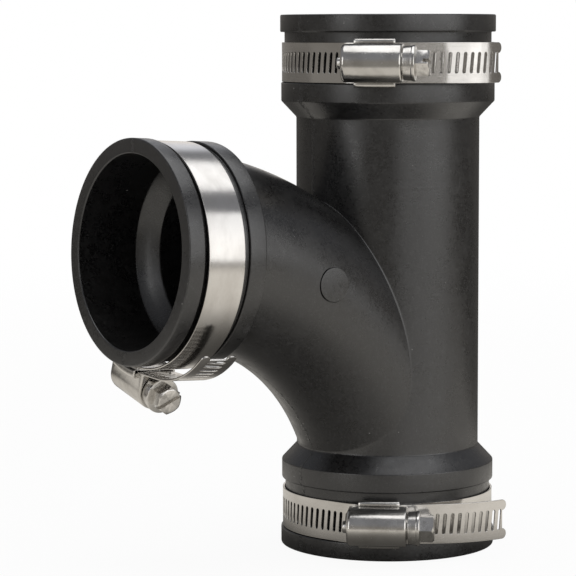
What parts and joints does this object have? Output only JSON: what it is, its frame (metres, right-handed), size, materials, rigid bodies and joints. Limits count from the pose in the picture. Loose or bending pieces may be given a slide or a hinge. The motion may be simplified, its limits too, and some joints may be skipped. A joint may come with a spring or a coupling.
{
  "type": "flexible rubber tee",
  "caption": "Flexible rubber sanitary tee: a straight run with a swept branch, and a worm-drive hose clamp in the groove of each socket.",
  "frame": {"origin": "centre of the lower socket's mouth, on the run's axis", "axes": "+Z along the run towards the upper socket; the swept branch points along +X, rising 3.2 degrees"},
  "size_m": [0.1361, 0.0809, 0.1732],
  "materials": {
    "rubber": "moulded, satin",
    "clamp_strip": "bright rolled stainless strip",
    "clamp_plate": "pressed stainless plate",
    "clamp_housing": "pressed stainless, softly polished",
    "clamp_screw": "plated steel, satin"
  },
  "bodies": {
    "tee": {"tee_body": "rubber"},
    "upper_clamp": {"upper_clamp_band": "clamp_strip", "upper_clamp_saddle": "clamp_plate", "upper_clamp_screw_housing": "clamp_housing"},
    "upper_clamp_screw": {"upper_clamp_worm_screw": "clamp_screw"},
    "lower_clamp": {"lower_clamp_band": "clamp_strip", "lower_clamp_saddle": "clamp_plate", "lower_clamp_screw_housing": "clamp_housing"},
    "lower_clamp_screw": {"lower_clamp_worm_screw": "clamp_screw"},
    "branch_clamp": {"branch_clamp_band": "clamp_strip", "branch_clamp_saddle": "clamp_plate", "branch_clamp_screw_housing": "clamp_housing"},
    "branch_clamp_screw": {"branch_clamp_worm_screw": "clamp_screw"}
  },
  "joints": [
    {"name": "upper_clamp_turn", "type": "hinge", "parent": "tee", "child": "upper_clamp", "pos_m": [0, 0, 0.15795], "axis": [0, 0, 1], "continuous": true},
    {"name": "upper_clamp_screw_turn", "type": "hinge", "parent": "upper_clamp", "child": "upper_clamp_screw", "pos_m": [0.02802, 0.02952, 0.15795], "axis": [-0.7254, 0.6884, 0], "continuous": true},
    {"name": "lower_clamp_turn", "type": "hinge", "parent": "tee", "child": "lower_clamp", "pos_m": [0, 0, 0.01215], "axis": [0, 0, 1], "continuous": true},
    {"name": "lower_clamp_screw_turn", "type": "hinge", "parent": "lower_clamp", "child": "lower_clamp_screw", "pos_m": [0.0267, 0.03072, 0.01215], "axis": [-0.7547, 0.6561, 0], "continuous": true},
    {"name": "branch_clamp_turn", "type": "hinge", "parent": "tee", "child": "branch_clamp", "pos_m": [0.08602, 0, 0.10001], "axis": [0.9984, 0, 0.0558], "continuous": true},
    {"name": "branch_clamp_screw_turn", "type": "hinge", "parent": "branch_clamp", "child": "branch_clamp_screw", "pos_m": [0.0883, -0.0106, 0.05915], "axis": [0.0143, 0.9668, -0.255], "continuous": true}
  ]
}
